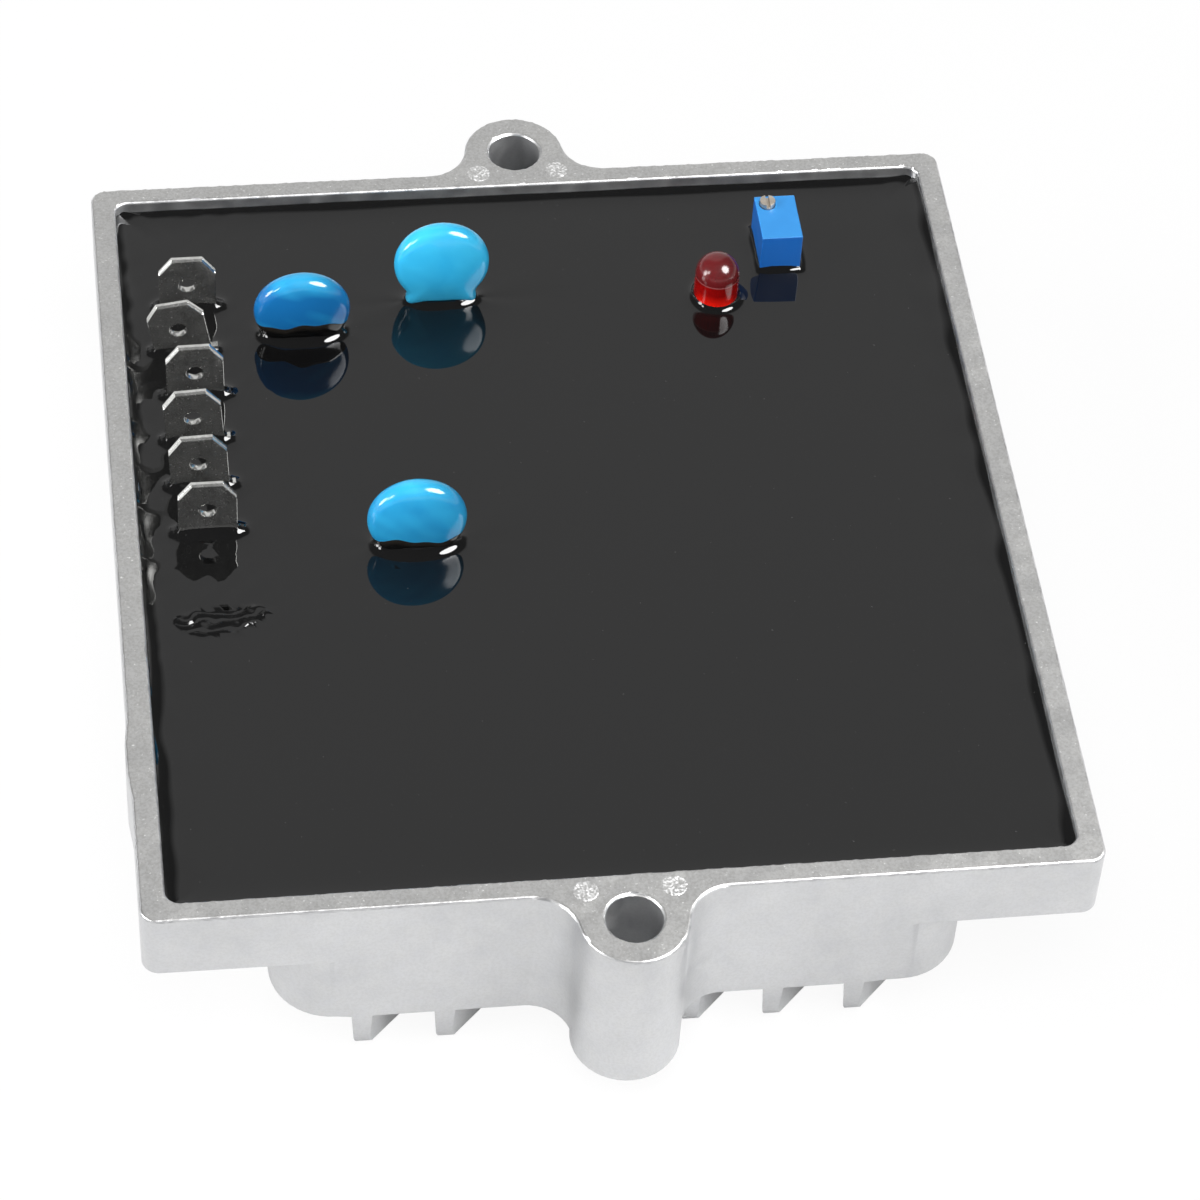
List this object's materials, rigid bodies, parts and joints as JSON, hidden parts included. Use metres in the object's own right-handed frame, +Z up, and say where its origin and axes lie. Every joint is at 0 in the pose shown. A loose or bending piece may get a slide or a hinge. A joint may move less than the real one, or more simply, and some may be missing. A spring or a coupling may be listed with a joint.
{
  "type": "voltage regulator module",
  "caption": "Potted voltage regulator: finned cast tray with two ears, black resin, a row of blade terminals, disc capacitors, a lamp and a trimmer.",
  "frame": {"origin": "centre of the tray in plan, at the level of the fin tips", "axes": "+Z up, out of the resin; +Y from the front ear to the back ear; +X to the right, away from the terminals"},
  "size_m": [0.0984, 0.1238, 0.032],
  "materials": {
    "cast_aluminium": "satin as cast",
    "circuit_board": "satin",
    "potting_resin": "glossy",
    "tinned_brass": "bright tinned",
    "blue_coating": "glossy dipped coating",
    "tinned_leads": "tinned",
    "lamp_lens": "clear tinted, polished",
    "trimmer_case": "satin",
    "adjusting_screw": "nickel washed",
    "moulded_black": "matte",
    "silicone_sheet": "matte",
    "white_nylon": "satin",
    "zinc_steel": "zinc plated",
    "capacitor_can": "sleeved",
    "film_yellow": "glossy",
    "resistor_green": "satin",
    "resistor_tan": "satin"
  },
  "bodies": {
    "module": {"housing": "cast_aluminium", "circuit_board": "circuit_board", "potting_resin": "potting_resin", "terminal_1": "tinned_brass", "terminal_2": "tinned_brass", "terminal_3": "tinned_brass", "terminal_4": "tinned_brass", "terminal_5": "tinned_brass", "terminal_6": "tinned_brass", "disc_capacitor_1": "blue_coating", "disc_capacitor_2": "blue_coating", "disc_capacitor_3": "blue_coating", "disc_leads_1": "tinned_leads", "disc_leads_2": "tinned_leads", "disc_leads_3": "tinned_leads", "lamp_lens": "lamp_lens", "lamp_lead_frame": "tinned_leads", "trimmer_case": "trimmer_case", "trimmer_pins": "tinned_leads", "thyristor_body": "moulded_black", "thyristor_lead_frame": "tinned_leads", "diode_body": "moulded_black", "diode_lead_frame": "tinned_leads", "insulating_pads": "silicone_sheet", "insulating_bushes": "white_nylon", "fixing_screws": "zinc_steel", "comparator_chip": "moulded_black", "comparator_pins": "tinned_leads", "storage_capacitor": "capacitor_can", "storage_capacitor_leads": "tinned_leads", "film_capacitor": "film_yellow", "film_capacitor_leads": "tinned_leads", "power_resistor": "resistor_green", "power_resistor_leads": "tinned_leads", "small_resistors": "resistor_tan", "small_resistor_leads": "tinned_leads", "rectifier_diodes": "moulded_black", "rectifier_leads": "tinned_leads"},
    "adjusting_screw": {"trimmer_screw": "adjusting_screw"}
  },
  "joints": [
    {"name": "adjusting_screw_turn", "type": "hinge", "parent": "module", "child": "adjusting_screw", "pos_m": [0.02743, 0.04208, 0.02615], "axis": [0, 0, 1], "continuous": true}
  ]
}
